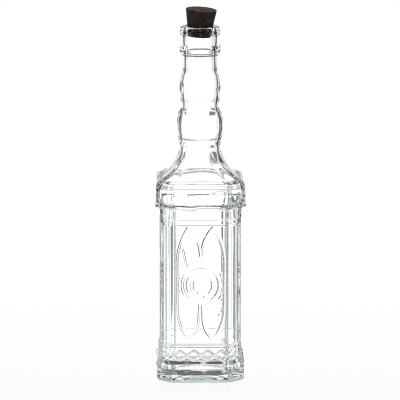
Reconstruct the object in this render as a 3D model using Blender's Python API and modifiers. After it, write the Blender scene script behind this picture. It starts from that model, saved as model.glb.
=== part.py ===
"""A square glass bottle with a pressed pattern, standing empty with a cork in its mouth.

Metres, +Z up. The origin is the centre of the base on the table, and the front of the
bottle faces -Y.
"""
import math
from collections import namedtuple

import bmesh
import bpy
from mathutils import Matrix, Vector

COLLECTION_NAME = "glass_bottle"
CUTTERS_NAME = "cutters"
PATTERN_NAME = "pattern"

# Heights above the table
PLINTH_TOP = 0.0149
BAND_BOTTOM = 0.0171
PANEL_BOTTOM = 0.0291
PANEL_TOP = 0.1230
LEDGE = 0.1270
COLLAR_BOTTOM = 0.1366
COLLAR_TOP = 0.1540
NECK_BOTTOM = 0.1779
LOWER_BULGE = (0.1846, 0.1962, 0.2082)
UPPER_BULGE = (0.2150, 0.2225, 0.2360)
LIP_BOTTOM = 0.2517
LIP_TOP = 0.2732
HEEL_TOP = 0.0034
COVE_DROP = 0.0026
BEAD_TALL = 0.0016
STEP = 0.0003

# Half widths across the flats, and radii where the glass is round
FOOT_INNER = 0.0250
FOOT_OUTER = 0.0312
PLINTH_HALF = 0.0336
BAND_HALF = 0.0313
FRAME_HALF = 0.0309
COLLAR_HALF = 0.0344
COLLAR_BEAD_HALF = 0.0350
HOLLOW_RADIUS = 0.0080
NECK_FOOT_RADIUS = 0.0160
NECK_GROOVE_RADIUS = 0.0155
WAIST_RADIUS = 0.0144
LOWER_BULGE_RADIUS = 0.0184
UPPER_BULGE_RADIUS = 0.01615
UPPER_BULGE_HEAD = 0.0134
FLAT_SHARE = 0.68
INNER_FLAT_SHARE = 0.705
PUNT_DEPTH = 0.0024

# Heights between which the square grows round, outside and inside
OUTSIDE_ROUNDS = (0.1570, 0.1745)
INSIDE_ROUNDS = (0.1530, 0.1720)

# Half width or radius, and height, of points on the outside
PLINTH_SLOPE = ((PLINTH_HALF, PLINTH_TOP), (0.0320, 0.0164), (BAND_HALF, BAND_BOTTOM))
COLLAR_SIDE = ((COLLAR_HALF, 0.1398), (COLLAR_HALF, COLLAR_TOP), (0.0334, 0.1552))
NECK_RING = ((0.0163, 0.1793), (0.0163, 0.1816), (NECK_GROOVE_RADIUS, 0.1838))
NECK_HEAD = ((0.0137, 0.2460), (0.0137, 0.2508))
LIP = ((0.0151, LIP_BOTTOM), (0.0157, 0.2532), (0.0159, 0.2655), (0.0155, 0.2716),
       (0.0147, 0.2728), (0.0136, LIP_TOP))

# The same of the inside, from the mouth down to where its floor's corner starts, and the
# floor's edge
MOUTH = ((0.0116, LIP_TOP), (0.0107, 0.2727), (0.0103, 0.2716), (0.0103, 0.2690))
MOUTH_BARREL = (0.0120, 0.2628)
BORE = ((0.0112, 0.2575), (0.0103, 0.2535), (0.0106, 0.2500), (0.0107, 0.2460),
        (0.0107, 0.2420), (0.0110, 0.2380), (0.0121, 0.2340), (0.0131, 0.2300),
        (0.0132, 0.2260), (0.0129, 0.2220), (0.0127, 0.2180), (0.0120, 0.2145),
        (0.0120, 0.2110), (0.0126, 0.2075), (0.0141, 0.2040), (0.0148, 0.2000),
        (0.0148, 0.1920), (0.0142, 0.1880), (0.0134, 0.1850), (0.0132, 0.1820),
        (0.0133, 0.1790), (0.0134, 0.1765), (0.0139, 0.1740), (0.0146, 0.1715),
        (0.0156, 0.1690), (0.0169, 0.1665), (0.0183, 0.1640), (0.0200, 0.1615),
        (0.0221, 0.1590), (0.0245, 0.1565), (0.0278, 0.1540))
CAVITY = ((0.0307, 0.1515), (0.0309, 0.1490), (0.0310, 0.1390), (0.0295, 0.1370),
          (0.0285, 0.1350), (0.0281, 0.1330), (0.0279, 0.1280), (0.0277, 0.1240),
          (0.0281, 0.0102))
FLOOR_EDGE = (0.0246, 0.0050)

# Pressed panels and pattern
PANEL_HALF = 0.0198
PANEL_DEPTH = 0.0010
CORNER_PANEL_HALF = 0.0050
CORNER_PANEL_DEPTH = 0.0005
RIB_RADIUS = 0.00070
FINE_RIB_RADIUS = 0.00055
RIB_SINK = 0.00012
CROSSING_SINK = 0.00018
SLIVER = 0.000004
RING_CENTRE = 0.0761
RING_RADIUS = 0.0143
KEYHOLE_RADIUS = 0.0059
KEYHOLE_DROP = 0.0072
KEYHOLE_ENDS = 0.0024
ZIGZAG_LOW = 0.0182
ZIGZAG_HIGH = 0.0259

# Cork
CORK_TOP_RADIUS = 0.0120
CORK_BOTTOM_RADIUS = 0.0088
CORK_LENGTH = 0.0215
CORK_TOP = 0.2856
CORK_PIVOT = 0.2717
CORK_EDGE = 0.0005
CORK_TILT = math.radians(4.2)
CORK_LEAN = math.radians(1.5)

FLAT_STEPS = 6
CORNER_STEPS = 3
SIDES = 4

Section = namedtuple("Section", "radius height roundness flat_share")


def clear_scene():
    """Removes whatever the file holds."""
    for item in list(bpy.data.objects):
        bpy.data.objects.remove(item, do_unlink=True)


def add_collection(name):
    """A new collection under the scene's own."""
    collection = bpy.data.collections.new(name)
    bpy.context.scene.collection.children.link(collection)
    return collection


def add_material(name, color, roughness, transmission=0.0):
    """A Principled material."""
    material = bpy.data.materials.new(name)
    material.use_nodes = True
    shader = material.node_tree.nodes["Principled BSDF"]
    shader.inputs["Base Color"].default_value = (*color, 1.0)
    shader.inputs["Roughness"].default_value = roughness
    shader.inputs["Metallic"].default_value = 0.0
    shader.inputs["Transmission Weight"].default_value = transmission
    return material


def object_from_bmesh(name, bm, collection):
    """An object of that mesh, with its faces pointing out."""
    bmesh.ops.recalc_face_normals(bm, faces=bm.faces)
    mesh = bpy.data.meshes.new(name)
    bm.to_mesh(mesh)
    bm.free()
    item = bpy.data.objects.new(name, mesh)
    collection.objects.link(item)
    return item


def quarter(start, end, leaves, steps, power=2.0):
    """Points (radius, height) along a quarter ellipse, without its start.

    It leaves the start sideways or upright and meets the end the other way. A power
    under 2 flattens the quarter towards its chord.
    """
    points = []
    for step in range(1, steps + 1):
        angle = math.pi / 2 * step / steps
        rising = math.sin(angle) ** (2 / power)
        lagging = 1 - math.cos(angle) ** (2 / power)
        across, up = (rising, lagging) if leaves == "sideways" else (lagging, rising)
        points.append((start[0] + (end[0] - start[0]) * across,
                       start[1] + (end[1] - start[1]) * up))
    return points


def bulge(heights, foot_radius, crown_radius, head_radius, steps):
    """A swelling of the neck: a quarter ellipse up to its crown and one back in."""
    low, middle, high = heights
    foot, crown, head = (foot_radius, low), (crown_radius, middle), (head_radius, high)
    return ([foot] + quarter(foot, crown, "sideways", steps)
            + quarter(crown, head, "upright", steps))


def smooth_step(low, high, value):
    """0 below low, 1 above high, and a smooth rise between them."""
    share = min(max((value - low) / (high - low), 0.0), 1.0)
    return share * share * (3 - 2 * share)


def outer_sections():
    """The outside, from the middle of the hollow under the base up to the lip."""
    hollow = (HOLLOW_RADIUS, PUNT_DEPTH)
    under = [Section(*hollow, 1.0, FLAT_SHARE)]
    for radius, height in quarter(hollow, (FOOT_INNER, 0.0), "sideways", 3, 1.6):
        under.append(Section(radius, height, 0.5, FLAT_SHARE))

    heel = (FOOT_OUTER, 0.0)
    side = [heel] + quarter(heel, (PLINTH_HALF, HEEL_TOP), "sideways", 3)
    side += [*PLINTH_SLOPE, (BAND_HALF, PANEL_BOTTOM - STEP), (FRAME_HALF, PANEL_BOTTOM)]
    side += [(FRAME_HALF, LEDGE - STEP), (BAND_HALF, LEDGE + STEP)]
    cove = (BAND_HALF, COLLAR_BOTTOM - COVE_DROP)
    side += [cove] + quarter(cove, (COLLAR_BEAD_HALF, COLLAR_BOTTOM), "upright", 3)
    side += [(COLLAR_BEAD_HALF, COLLAR_BOTTOM + BEAD_TALL), *COLLAR_SIDE]
    side += quarter(COLLAR_SIDE[-1], (NECK_FOOT_RADIUS, NECK_BOTTOM), "sideways", 7, 1.5)

    neck = [*NECK_RING]
    neck += bulge(LOWER_BULGE, NECK_GROOVE_RADIUS, LOWER_BULGE_RADIUS, WAIST_RADIUS, 3)
    neck += bulge(UPPER_BULGE, WAIST_RADIUS, UPPER_BULGE_RADIUS, UPPER_BULGE_HEAD, 3)
    neck += [*NECK_HEAD, *LIP]

    sections = under
    for radius, height in side + neck:
        roundness = smooth_step(*OUTSIDE_ROUNDS, height)
        sections.append(Section(radius, height, roundness, FLAT_SHARE))
    return sections


def inner_sections():
    """The inside, from the lip down the bore to the floor of the bottle."""
    inside = [*MOUTH] + quarter(MOUTH[-1], MOUTH_BARREL, "sideways", 2)
    inside += [*BORE, *CAVITY] + quarter(CAVITY[-1], FLOOR_EDGE, "upright", 3)

    sections = []
    for radius, height in inside:
        roundness = smooth_step(*INSIDE_ROUNDS, height)
        sections.append(Section(radius, height, roundness, INNER_FLAT_SHARE))
    return sections


def section_points(section):
    """The points round one level: four flats with slanted corners, drawn towards a circle."""
    flat_half = section.radius * section.flat_share
    step_angle = 2 * math.pi / (SIDES * (FLAT_STEPS + CORNER_STEPS))
    points = []
    for side in range(SIDES):
        turn = Matrix.Rotation(side * math.pi / 2, 3, "Z")
        for step in range(FLAT_STEPS + CORNER_STEPS):
            if step < FLAT_STEPS:
                out = section.radius
                along = flat_half * (2 * step / FLAT_STEPS - 1)
            else:
                share = (step - FLAT_STEPS) / CORNER_STEPS
                out = section.radius + (flat_half - section.radius) * share
                along = flat_half + (section.radius - flat_half) * share
            angle = (step - FLAT_STEPS / 2) * step_angle
            squared = Vector((out, along, 0))
            circled = Vector((math.cos(angle), math.sin(angle), 0)) * section.radius
            point = turn @ squared.lerp(circled, section.roundness)
            points.append((point.x, point.y, section.height))
    return points


def loft(name, sections, collection):
    """One closed skin through the sections, with a flat cap at each end."""
    bm = bmesh.new()
    rings = [[bm.verts.new(point) for point in section_points(section)] for section in sections]
    for lower, upper in zip(rings, rings[1:]):
        for here in range(len(lower)):
            after = (here + 1) % len(lower)
            bm.faces.new((lower[here], lower[after], upper[after], upper[here]))
    bm.faces.new(rings[0])
    bm.faces.new(rings[-1])
    return object_from_bmesh(name, bm, collection)


def add_panel_cutter(name, angle, distance, half_width, depth, collection):
    """A block with slanted edges that sinks a panel into the face at that angle."""
    reach = 0.004
    height = PANEL_TOP - PANEL_BOTTOM
    bpy.ops.mesh.primitive_cube_add(size=1)
    block = bpy.context.active_object
    block.name = name
    for vertex in block.data.vertices:
        vertex.co.x *= 2 * half_width
        vertex.co.y *= 2 * reach
        vertex.co.z *= height
    slant = block.modifiers.new("slant", "BEVEL")
    slant.width = depth
    slant.segments = 1
    out = Matrix.Rotation(angle, 3, "Z") @ Vector((0, -(distance - depth + reach), 0))
    block.location = (out.x, out.y, (PANEL_TOP + PANEL_BOTTOM) / 2)
    block.rotation_euler = (0, 0, angle)
    block.hide_render = True
    block.display_type = "WIRE"
    for home in list(block.users_collection):
        home.objects.unlink(block)
    collection.objects.link(block)
    return block


def arc(centre, radius, first, last, steps):
    """Points (across, up) on an arc, its angles in degrees from the +X side."""
    points = []
    for step in range(steps + 1):
        angle = math.radians(first + (last - first) * step / steps)
        points.append((centre[0] + radius * math.cos(angle), centre[1] + radius * math.sin(angle)))
    return points


def add_rib(name, points, closed, radius, collection):
    """A bar along the points, as a mesh that a union can take."""
    curve = bpy.data.curves.new(name, "CURVE")
    curve.dimensions = "3D"
    curve.bevel_depth = radius
    curve.bevel_resolution = 0
    curve.use_fill_caps = True
    spline = curve.splines.new("POLY")
    spline.points.add(len(points) - 1)
    for slot, point in zip(spline.points, points):
        slot.co = (*point, 1.0)
    spline.use_cyclic_u = closed
    guide = bpy.data.objects.new(name + "_guide", curve)
    collection.objects.link(guide)
    bpy.context.view_layer.update()
    seen = guide.evaluated_get(bpy.context.evaluated_depsgraph_get())
    bm = bmesh.new()
    bm.from_mesh(bpy.data.meshes.new_from_object(seen))
    bpy.data.objects.remove(guide, do_unlink=True)
    bmesh.ops.remove_doubles(bm, verts=bm.verts, dist=0.00001)
    return object_from_bmesh(name, bm, collection)


def petal_outline():
    """The left petal: tangent arcs from the notch over the tip, down the side and back up."""
    notch, top_tip = (-0.0004, 0.0985), (-0.0095, 0.1212)
    wide_top, wide_bottom = (-0.0182, 0.0930), (-0.0180, 0.0580)
    bottom_tip, inner_bottom = (-0.0092, 0.0334), (-0.0016, 0.0500)
    outline = [notch]
    outline += quarter_circle(notch, top_tip, 4)
    outline += reversed(quarter_circle(wide_top, top_tip, 5)[:-1])
    outline += [wide_top, wide_bottom]
    outline += quarter_circle(wide_bottom, bottom_tip, 5)
    outline += reversed(quarter_circle(inner_bottom, bottom_tip, 4)[:-1])
    outline += [inner_bottom, (-0.0010, RING_CENTRE - RING_RADIUS)]
    return outline


def quarter_circle(upright, end, steps):
    """Points after the first on the circle arc that leaves upright straight up or down."""
    across, up = end[0] - upright[0], end[1] - upright[1]
    sweep = 2 * math.atan2(abs(across), abs(up))
    radius = abs(up) / math.sin(sweep)
    points = []
    for step in range(1, steps + 1):
        angle = sweep * step / steps
        points.append((upright[0] + math.copysign(radius * (1 - math.cos(angle)), across),
                       upright[1] + math.copysign(radius * math.sin(angle), up)))
    return points


def horseshoe_outline():
    """The closed outline of a broad ring that is open at the bottom, with round ends."""
    inner, outer, gap = 0.0082, 0.0111, 24
    middle, end_radius = (inner + outer) / 2, (outer - inner) / 2
    centre = (0.0, RING_CENTRE)
    right = arc(centre, middle, -90 + gap, 0, 1)[0]
    left = (-right[0], right[1])
    outline = arc(centre, outer, -90 + gap, 270 - gap, 20)
    outline += arc(left, end_radius, 270 - gap, 450 - gap, 3)[1:-1]
    outline += arc(centre, inner, 270 - gap, -90 + gap, 16)
    outline += arc(right, end_radius, 90 + gap, 270 + gap, 3)[1:-1]
    return outline


def keyhole_outline():
    """The inmost line: most of a circle, with its ends drawn in below."""
    foot = RING_CENTRE - KEYHOLE_DROP
    line = [(KEYHOLE_ENDS, foot)]
    line += arc((0.0, RING_CENTRE), KEYHOLE_RADIUS, -40, 220, 14)
    line += [(-KEYHOLE_ENDS, foot)]
    return line


def add_face_pattern(angle, collection):
    """Petals, ring, horseshoe and keyhole on the sunk panel at that angle.

    Bars that cross are sunk unlike amounts, so that none of their faces coincide.
    """
    petal = petal_outline()
    mirrored = [(-across, up) for across, up in petal]
    ring = arc((0.0, RING_CENTRE), RING_RADIUS, 0, 360, 30)[:-1]
    lines = [("petal_left", petal, False, RIB_RADIUS, RIB_SINK),
             ("petal_right", mirrored, False, RIB_RADIUS, CROSSING_SINK),
             ("ring", ring, True, RIB_RADIUS + CROSSING_SINK, CROSSING_SINK),
             ("horseshoe", horseshoe_outline(), True, FINE_RIB_RADIUS, RIB_SINK),
             ("keyhole", keyhole_outline(), False, FINE_RIB_RADIUS, CROSSING_SINK)]
    turn = Matrix.Rotation(angle, 3, "Z")
    for name, points, closed, radius, sink in lines:
        depth = FRAME_HALF - PANEL_DEPTH - sink
        placed = [turn @ Vector((across, -depth, up)) for across, up in points]
        add_rib(name, placed, closed, radius, collection)


def add_zigzags(collection):
    """Two crossing zigzags right round the band: four diamonds a face and one a corner."""
    low, high = ZIGZAG_LOW, ZIGZAG_HIGH
    flat_half = BAND_HALF * FLAT_SHARE
    for name, swing, radius in (("zigzag_up", 1, FINE_RIB_RADIUS), ("zigzag_down", -1, RIB_RADIUS)):
        depth = BAND_HALF - CROSSING_SINK
        corner_middle = (depth + flat_half) / 2
        points = []
        for side in range(SIDES):
            turn = Matrix.Rotation(side * math.pi / 2, 3, "Z")
            stops = [(-1.0, 0), (-0.75, 1), (-0.25, -1), (0.25, 1), (0.75, -1), (1.0, 0)]
            for share, level in stops:
                height = (low + high) / 2 + swing * level * (high - low) / 2
                points.append(turn @ Vector((flat_half * share, -depth, height)))
            peak = (low + high) / 2 + swing * (high - low) / 2
            points.append(turn @ Vector((corner_middle, -corner_middle, peak)))
        add_rib(name, points, True, radius, collection)


def add_boolean(item, operation, collection, name):
    """A Boolean of the item with everything in the collection."""
    boolean = item.modifiers.new(name, "BOOLEAN")
    boolean.operation = operation
    boolean.operand_type = "COLLECTION"
    boolean.collection = collection
    boolean.solver = "EXACT"
    return boolean


def add_bottle(parts, cutters):
    """The glass: one skin outside and in, sunk panels, and the pattern joined on."""
    bottle = loft("bottle", outer_sections() + inner_sections(), parts)
    corner_distance = (FRAME_HALF + FRAME_HALF * FLAT_SHARE) / math.sqrt(2)
    for side in range(SIDES):
        angle = side * math.pi / 2
        add_panel_cutter(f"panel_cutter_{side}", angle, FRAME_HALF, PANEL_HALF, PANEL_DEPTH, cutters)
        add_panel_cutter(f"corner_cutter_{side}", angle + math.pi / 4, corner_distance,
                         CORNER_PANEL_HALF, CORNER_PANEL_DEPTH, cutters)
    add_boolean(bottle, "DIFFERENCE", cutters, "panels")

    pattern = add_collection(PATTERN_NAME)
    for angle in (0, math.pi / 2, -math.pi / 2):
        add_face_pattern(angle, pattern)
    add_zigzags(pattern)
    add_boolean(bottle, "UNION", pattern, "raised_pattern")

    bpy.context.view_layer.objects.active = bottle
    bottle.select_set(True)
    for modifier in list(bottle.modifiers):
        bpy.ops.object.modifier_apply(modifier=modifier.name)
    for item in list(pattern.objects):
        bpy.data.objects.remove(item, do_unlink=True)
    bpy.data.collections.remove(pattern)

    bm = bmesh.new()
    bm.from_mesh(bottle.data)
    bmesh.ops.triangulate(bm, faces=bm.faces)
    bmesh.ops.remove_doubles(bm, verts=bm.verts, dist=SLIVER)
    bmesh.ops.dissolve_degenerate(bm, edges=bm.edges, dist=SLIVER)
    bm.to_mesh(bottle.data)
    bm.free()

    bottle.data.materials.clear()
    bottle.data.materials.append(add_material("glass", (0.93, 0.97, 0.95), 0.02, 1.0))
    bottle.data.shade_smooth()
    bottle.data.set_sharp_from_angle(angle=math.radians(30))
    return bottle


def add_stopper(parts):
    """The cork: a tapered plug that leans a little in the mouth."""
    bm = bmesh.new()
    bmesh.ops.create_cone(bm, cap_ends=True, segments=40, radius1=CORK_BOTTOM_RADIUS,
                          radius2=CORK_TOP_RADIUS, depth=CORK_LENGTH)
    stopper = object_from_bmesh("stopper", bm, parts)
    edge = stopper.modifiers.new("edge", "BEVEL")
    edge.width = CORK_EDGE
    edge.segments = 2
    edge.limit_method = "ANGLE"
    edge.angle_limit = math.radians(40)
    stopper.rotation_euler = (CORK_LEAN, CORK_TILT, 0)
    lean = stopper.rotation_euler.to_matrix() @ Vector((0, 0, 1))
    mouth = Vector((0, 0, CORK_PIVOT))
    to_middle = (CORK_TOP - CORK_PIVOT) / lean.z - CORK_LENGTH / 2
    stopper.location = mouth + lean * to_middle
    stopper.data.materials.append(add_material("cork", (0.045, 0.028, 0.022), 0.8))
    stopper.data.shade_smooth()
    stopper.data.set_sharp_from_angle(angle=math.radians(40))
    return stopper


def main():
    clear_scene()
    parts = add_collection(COLLECTION_NAME)
    cutters = add_collection(CUTTERS_NAME)
    add_bottle(parts, cutters)
    add_stopper(parts)


main()
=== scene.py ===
"""The looks of a square pressed-glass bottle with a dark cork resting in its mouth.

The file is laid out as an add-on: its panel lists the sizes and finishes, and one
operator each makes the glass, the cork and the stage. Profiles and patterns are given in
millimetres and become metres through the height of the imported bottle.
"""
import math

import bpy
import numpy as np
from bpy.props import FloatProperty, FloatVectorProperty, IntProperty, PointerProperty
from bpy.types import Operator, Panel, PropertyGroup
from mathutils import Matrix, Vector


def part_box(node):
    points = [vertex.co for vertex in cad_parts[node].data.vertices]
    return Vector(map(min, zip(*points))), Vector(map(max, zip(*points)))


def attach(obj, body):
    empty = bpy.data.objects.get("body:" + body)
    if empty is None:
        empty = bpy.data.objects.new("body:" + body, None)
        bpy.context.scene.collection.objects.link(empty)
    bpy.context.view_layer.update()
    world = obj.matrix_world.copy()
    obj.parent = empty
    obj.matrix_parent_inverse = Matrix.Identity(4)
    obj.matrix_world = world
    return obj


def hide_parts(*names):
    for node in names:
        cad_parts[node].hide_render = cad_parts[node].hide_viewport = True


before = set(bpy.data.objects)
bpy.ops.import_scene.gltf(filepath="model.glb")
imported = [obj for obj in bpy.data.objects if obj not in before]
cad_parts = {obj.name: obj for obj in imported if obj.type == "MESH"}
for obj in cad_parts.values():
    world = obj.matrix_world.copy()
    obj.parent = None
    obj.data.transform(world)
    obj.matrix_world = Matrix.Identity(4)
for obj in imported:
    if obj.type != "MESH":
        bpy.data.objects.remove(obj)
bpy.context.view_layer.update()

bl_info = {
    "name": "Pressed glass bottle",
    "version": (1, 0, 0),
    "blender": (4, 5, 0),
    "location": "View3D > Sidebar > Bottle",
    "description": "Makes a square glass bottle with a pressed pattern, its cork and a stage",
    "category": "Object",
}

# Heights of the glass above the table, in millimetres
PUNT = 2.4
PLINTH_TOP = 14.9
BAND_BOTTOM = 17.1
BAND_TOP = 28.1
PANEL_BOTTOM = 29.1
PANEL_TOP = 123.0
LEDGE = 127.0
COLLAR_BOTTOM = 136.6
COLLAR_TOP = 154.0
SHOULDER_START = 155.2
NECK_BOTTOM = 177.9
LOWER_BULGE = (184.6, 196.2, 208.2)
UPPER_BULGE = (215.0, 222.5, 236.0)
LIP_BOTTOM = 251.7
LIP_TOP = 273.2
FLOOR_TOP = 5.0
FINE_TOP = 156.0

# Half widths across the flats, and radii where the glass is round, in millimetres
FOOT_INNER = 25.0
HEEL = 31.2
PLINTH_HALF = 33.6
BAND_HALF = 31.3
FRAME_HALF = 30.9
COLLAR_HALF = 34.4
COLLAR_BEAD_HALF = 35.0
SHOULDER_HALF = 33.4
NECK_FOOT_RADIUS = 16.0
NECK_RING_RADIUS = 16.3
NECK_RING_GROOVE = 15.5
LOWER_BULGE_RADIUS = 18.4
WAIST_RADIUS = 14.4
UPPER_BULGE_RADIUS = 16.15
UPPER_BULGE_HEAD = 13.4
NECK_RADIUS = 13.7
LIP_RADIUS = 15.9
BORE_RADIUS = 10.3
BARREL_RADIUS = 11.5
FLAT_SHARE = 0.68

# The share of the inside's half width that is flat beside each corner, front right first
INNER_FLAT_SHARES = (0.70, 0.72, 0.745, 0.745)
SIDES = 8

# The wall's thickness at some heights, and how far the inside is smoother than the outside
WALL_HEIGHTS = (17.0, 125.0, 140.0, 155.0, 172.0, 184.0, 196.0, 211.0, 222.0, 232.0, 243.0, 251.0)
WALL_THICKNESS = (3.2, 3.2, 3.5, 3.5, 3.0, 2.8, 3.6, 2.5, 3.2, 2.3, 2.9, 3.1)
WALL_SOFTENING = 2.0
WALL_EASING = 0.8
WALL_FOOT = 10.2
FINE_STEP = 0.1

# The pressed pattern on a panel, in millimetres
PANEL_HALF = 19.9
PANEL_DEPTH = 1.0
CORNER_PANEL_HALF = 5.0
CORNER_PANEL_DEPTH = 0.5
RING_CENTRE = 76.1
RING_RADIUS = 14.25
OUTER_RING_RADIUS = 17.8
HORSESHOE_RADIUS = 9.75
HORSESHOE_GAP = 22
KEYHOLE_RADIUS = 6.0
FRONT, RIGHT, LEFT = 0, 2, 6
PATTERNED = (FRONT, RIGHT, LEFT)

# Folds and flow marks in the front of the glass: half width, depth, and a line through
# points across the front and up, all in millimetres
FLOW_MARKS = (
    (0.7, 0.30, ((-16.8, 119.6), (-13.9, 121.9))), (0.7, 0.30, ((-13.5, 122.8), (-11.3, 120.6))),
    (0.6, 0.20, ((-16.6, 116.0), (-13.2, 118.8))),
    (1.0, 0.50, ((-13.9, 104.6), (-12.9, 100.0), (-11.7, 93.8), (-9.8, 90.3))),
    (0.9, 0.40, ((-14.6, 93.4), (-13.6, 91.1), (-11.8, 89.3))),
    (0.6, 0.20, ((14.2, 86.6), (15.6, 85.8), (17.0, 83.2))),
    (0.6, 0.25, ((13.0, 64.6), (14.9, 64.2), (15.3, 62.2), (16.5, 60.3))),
    (0.6, 0.25, ((-15.6, 48.0), (-12.0, 47.8), (-10.8, 48.8), (-8.5, 47.6), (-5.6, 45.6),
                 (-5.0, 47.8))),
    (0.6, 0.25, ((4.2, 47.3), (6.9, 48.0), (9.9, 50.0), (12.6, 52.4), (14.9, 55.0),
                 (16.0, 52.0))),
    (1.0, 0.35, ((-20.2, 145.6), (-19.4, 147.6), (-17.2, 148.2), (-14.0, 148.2),
                 (-11.6, 146.9), (-10.4, 145.6))),
    (1.1, 0.40, ((7.6, 147.4), (11.4, 148.8), (16.8, 149.4), (22.2, 149.0), (23.8, 146.6),
                 (23.0, 145.0), (16.8, 146.1), (7.6, 147.2))))

# The cork, in millimetres
CORK_TOP_RADIUS = 12.0
CORK_BOTTOM_RADIUS = 8.8
CORK_LENGTH = 20.7
CORK_TOP = 285.6
CORK_PIVOT = 271.7
CORK_SEED = 11
WAVE_SEED = 5

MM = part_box("bottle")[1].z / LIP_TOP

# The studio's dark sectors round the bottle, near it and far off: where each starts and
# ends, in degrees from straight behind the bottle towards the right, and its brightness
# at both ends
NEAR_SECTORS = (
    (-177, -135, 0.55, 0.55), (-123, -108, 0.60, 0.60), (-76, -50, 0.60, 0.60),
    (-36, -11, 0.14, 0.20), (7, 37, (0.12, 0.12, 0.15), 0.0), (43, 82, 0.00, 0.00),
    (108, 123, 0.10, 0.10), (135, 177, 0.12, 0.12))
FAR_SECTORS = (
    (-177, -130, 0.12, 0.12), (-108, -74, 0.00, 0.00), (-56, -38, 0.12, 0.12),
    (-34, -26, 0.40, 0.75), (16, 32, (0.80, 0.80, 0.84), 0.60), (38, 56, 0.08, 0.08),
    (74, 108, 0.00, 0.00), (130, 177, 0.12, 0.12))
SECTOR_EDGE = 3.0
NEAR_REACH = (0.76, 0.86)
STAND_HALF = 0.032

# Painted shadow on the table under the bottle, dark at the front with lighter patches: places
# towards the back in metres, and the noise that makes the patches
UNDER_SHADOW_REACH = 0.05
UNDER_SHADOW_STOPS = ((-0.005, 0.06), (0.006, 1.0), (0.029, 1.0), (0.031, 0.12))
UNDER_SHADOW_PATCHES = ((0.52, 0.0), (0.62, 0.75))
UNDER_SHADOW_PATCH_SCALE = 62.0

# The table's light by distance from the axis in metres, and the world's by its height
FLOOR_REACH = 8.0
STAND_EDGE = (0.034, 0.036)
FLOOR_STOPS = (
    (0.037, 0.75), (0.040, 0.75), (0.044, 0.97), (0.12, 0.88), (0.25, (0.92, 0.92, 0.94)),
    (0.45, 1.0), (2.0, 1.0), (8.0, 0.85))
SKY_STOPS = (
    (0.0, 0.8), (0.02, 0.38), (0.14, 0.38), (0.16, 1.0), (0.205, 1.0), (0.23, 0.08),
    (0.85, 0.06), (0.95, 1.0))
SURROUND_GLOW = 1.38
FLOOR_WHITE = (1.03, 1.026, 1.032)
FLOOR_GLOSS = 0.10
FLOOR_ROUGHNESS = 0.12

# The overhead lamp, in metres and watts
LAMP_SIZE = 0.5
LAMP_POWER = 9.0
LAMP_PLACE = (0.3, 0.1, 1.3)
LAMP_AIM = (0.0, 0.0, 0.27)


class GlassSettings(PropertyGroup):
    """Sizes and finish of the glass."""

    arris_power: FloatProperty(
        name="Arris sharpness", default=180.0, min=20.0, max=400.0,
        description="Power of the rounded octagon outside; higher is sharper")
    collar_power: FloatProperty(
        name="Collar sharpness", default=45.0, min=10.0, max=400.0,
        description="The same on the collar and shoulder, where the arrises are duller")
    inner_power: FloatProperty(
        name="Inner sharpness", default=95.0, min=4.0, max=400.0,
        description="Power of the rounded octagon inside; lower is rounder")
    slack_power: FloatProperty(
        name="Slack inner sharpness", default=50.0, min=4.0, max=400.0,
        description="The same on the right-hand side, where the glass ran thicker")
    edge_rounding: FloatProperty(
        name="Edge rounding", default=0.40, min=0.1, max=2.0,
        description="Softening of the profile's edges, in millimetres")
    neck_rounding: FloatProperty(
        name="Neck rounding", default=2.0, min=0.1, max=4.0,
        description="Softening of the creases on the neck, in millimetres")
    relief: FloatProperty(
        name="Pattern height", default=0.60, min=0.0, max=2.0,
        description="Height of the raised pattern, in millimetres")
    waviness: FloatProperty(
        name="Inner waviness", default=0.15, min=0.0, max=1.0,
        description="Unevenness of the inside wall, in millimetres")
    columns: IntProperty(
        name="Columns", default=248, min=64, max=320,
        description="Vertices round the body; the neck and the inside have half of them")
    ior: FloatProperty(
        name="Refraction", default=1.52, min=1.4, max=1.7,
        description="Index of refraction of the glass")
    tint: FloatVectorProperty(
        name="Tint", subtype="COLOR", size=3, default=(0.45, 0.72, 0.60), min=0.0, max=1.0,
        description="Colour that thick glass takes on")
    tint_density: FloatProperty(
        name="Tint density", default=5.5, min=0.0, max=200.0,
        description="How fast the glass takes on its tint, per metre")


class CorkSettings(PropertyGroup):
    """Sizes and finish of the cork."""

    tilt: FloatProperty(
        name="Tilt", subtype="ANGLE", default=math.radians(4.2),
        description="How far the cork's top leans to the right")
    lean: FloatProperty(
        name="Lean", subtype="ANGLE", default=math.radians(1.5),
        description="How far the cork's top leans towards the front")
    columns: IntProperty(
        name="Columns", default=180, min=24, max=400,
        description="Vertices round the cork")
    dark: FloatVectorProperty(
        name="Dark", subtype="COLOR", size=3, default=(0.014, 0.010, 0.008), min=0.0, max=1.0,
        description="Colour of the cork's darker grain")
    light: FloatVectorProperty(
        name="Light", subtype="COLOR", size=3, default=(0.070, 0.046, 0.036), min=0.0, max=1.0,
        description="Colour of the cork's lighter grain")
    # Painted light: the cork's upward-facing top is coloured lighter than its side, standing in for
    # light falling from above
    painted_top_light: FloatVectorProperty(
        name="Painted top light", subtype="COLOR", size=3, default=(2.1, 2.1, 2.0), min=0.0, max=4.0,
        description="How much lighter the cork's cut end is than its side")


class StageSettings(PropertyGroup):
    """Camera, floor and light."""

    distance: FloatProperty(
        name="Camera distance", subtype="DISTANCE", unit="LENGTH", default=4.0,
        description="Distance of the camera from the bottle's axis")
    height: FloatProperty(
        name="Camera height", subtype="DISTANCE", unit="LENGTH", default=0.895,
        description="Height of the camera above the table")
    turn: FloatProperty(
        name="Camera turn", subtype="ANGLE", default=math.radians(1.2),
        description="How far the camera stands round to the left")
    aim: FloatProperty(
        name="Aim height", subtype="DISTANCE", unit="LENGTH", default=0.137,
        description="Height that the middle of the picture shows")
    lens: FloatProperty(
        name="Lens", default=475.85, min=10.0, max=1000.0,
        description="Focal length in millimetres on a 36 mm sensor")


def settings():
    """The add-on's settings in this scene."""
    return bpy.context.scene.pressed_bottle


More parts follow.
